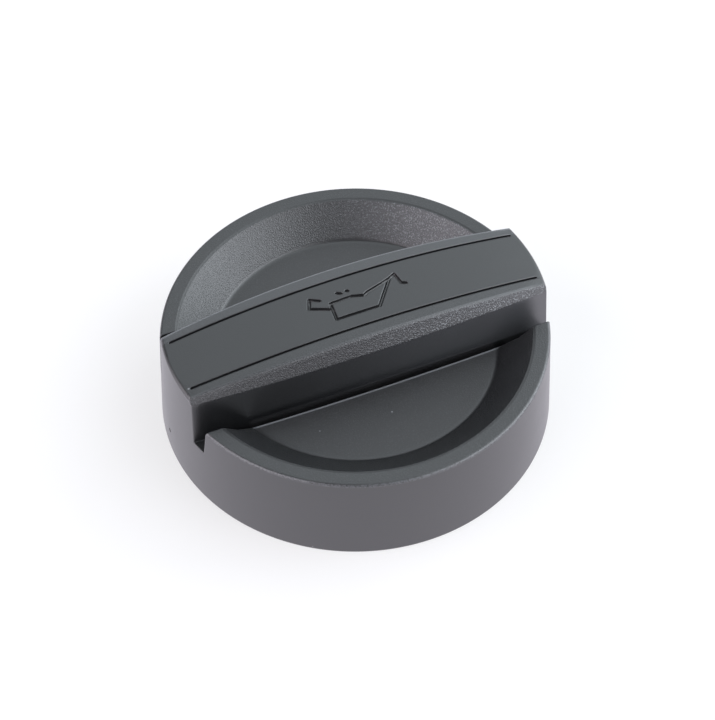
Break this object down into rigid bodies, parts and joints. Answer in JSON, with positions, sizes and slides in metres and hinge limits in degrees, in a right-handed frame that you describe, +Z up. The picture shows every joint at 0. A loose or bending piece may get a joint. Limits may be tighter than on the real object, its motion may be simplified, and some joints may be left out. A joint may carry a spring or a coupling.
{
  "type": "oil filler cap",
  "caption": "Round moulded engine oil filler cap with a crowned grip bar across a dished top, a bayonet plug clipped up inside the skirt and a rubber sealing ring.",
  "frame": {"origin": "centre of the skirt's foot, on the surface the cap stands on", "axes": "+Z up out of the grip bar along the cap's turning axis, X along the grip bar"},
  "size_m": [0.0666, 0.0666, 0.0244],
  "materials": {
    "cap_plastic": "satin moulded glass-filled plastic, fine spark-eroded grain on the sloping faces",
    "plug_plastic": "satin moulded glass-filled plastic",
    "seal_rubber": "matt black rubber"
  },
  "bodies": {
    "root": {"grip_cap": "cap_plastic", "bayonet_plug": "plug_plastic", "sealing_ring": "seal_rubber"}
  },
  "joints": []
}
